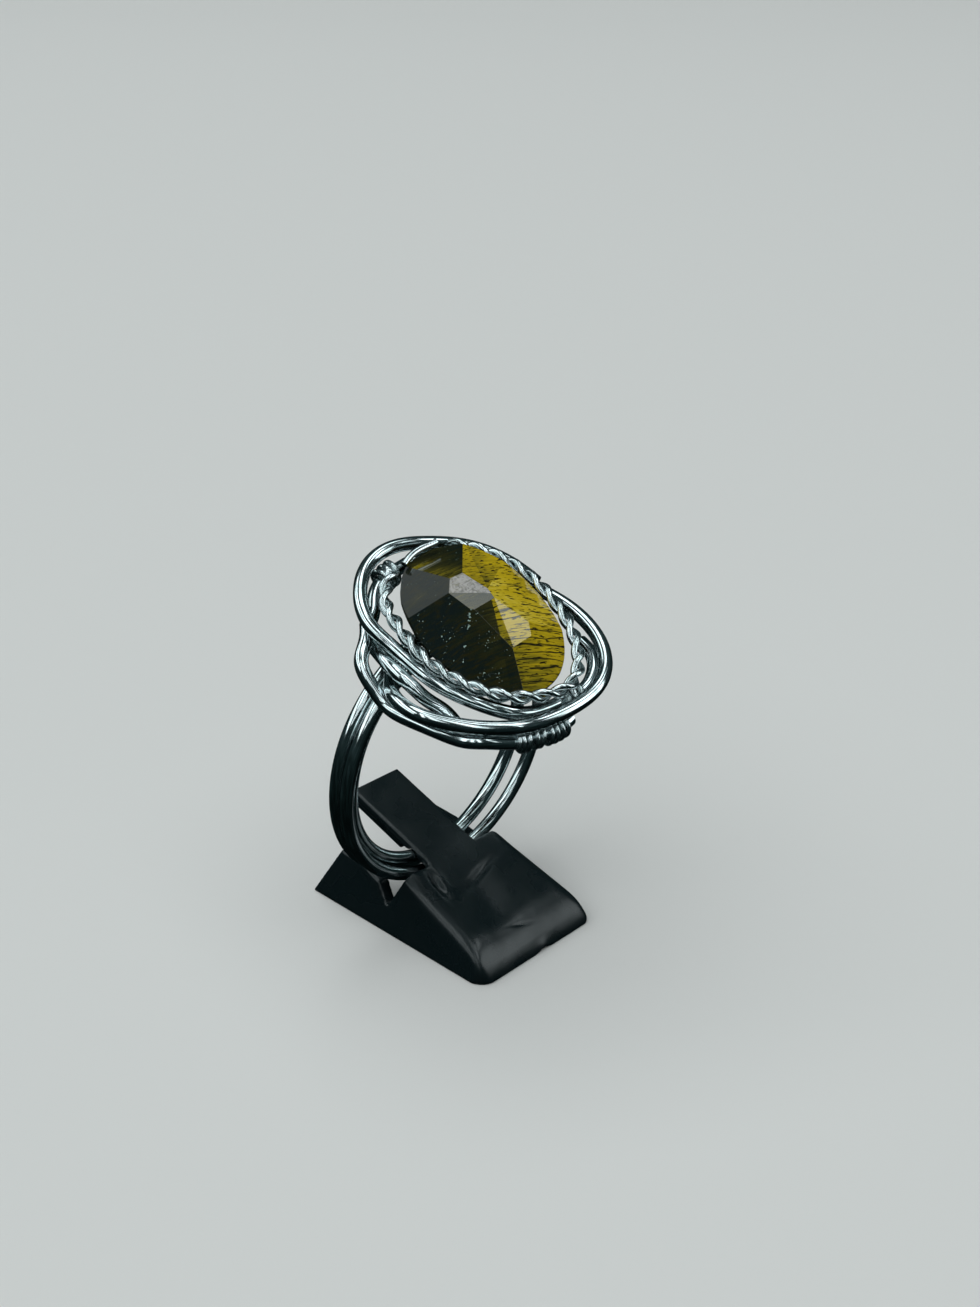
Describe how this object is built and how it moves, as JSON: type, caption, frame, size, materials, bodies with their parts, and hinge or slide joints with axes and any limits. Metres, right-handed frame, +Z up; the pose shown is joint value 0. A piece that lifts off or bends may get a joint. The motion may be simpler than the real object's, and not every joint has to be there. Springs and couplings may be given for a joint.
{
  "type": "tiger eye ring on display stand",
  "caption": "Wire-wrapped finger ring with a faceted oval tiger eye stone in a nest of round wire with a twisted rope edge, standing upright on a small hollow black ramp stand.",
  "frame": {"origin": "middle of the stand's base, on the surface it stands on", "axes": "+X across the stand, +Y toward the stand's open far end, +Z up"},
  "size_m": [0.0202, 0.0207, 0.0287],
  "materials": {
    "stone": "polished, faceted",
    "silver_wire": "polished",
    "black_plastic": "satin moulded"
  },
  "bodies": {
    "root": {"stone": "stone", "rope_strand_a": "silver_wire", "rope_strand_b": "silver_wire", "holding_wire": "silver_wire", "band_wire_far": "silver_wire", "band_wire_near": "silver_wire", "band_wire_inner": "silver_wire", "halo_wire_upper": "silver_wire", "halo_wire_outer": "silver_wire", "halo_wire_lower": "silver_wire", "cradle_wire": "silver_wire", "binding_wire": "silver_wire", "rope_tail_coil": "silver_wire", "rope_end_coil": "silver_wire", "display_stand": "black_plastic"}
  },
  "joints": []
}
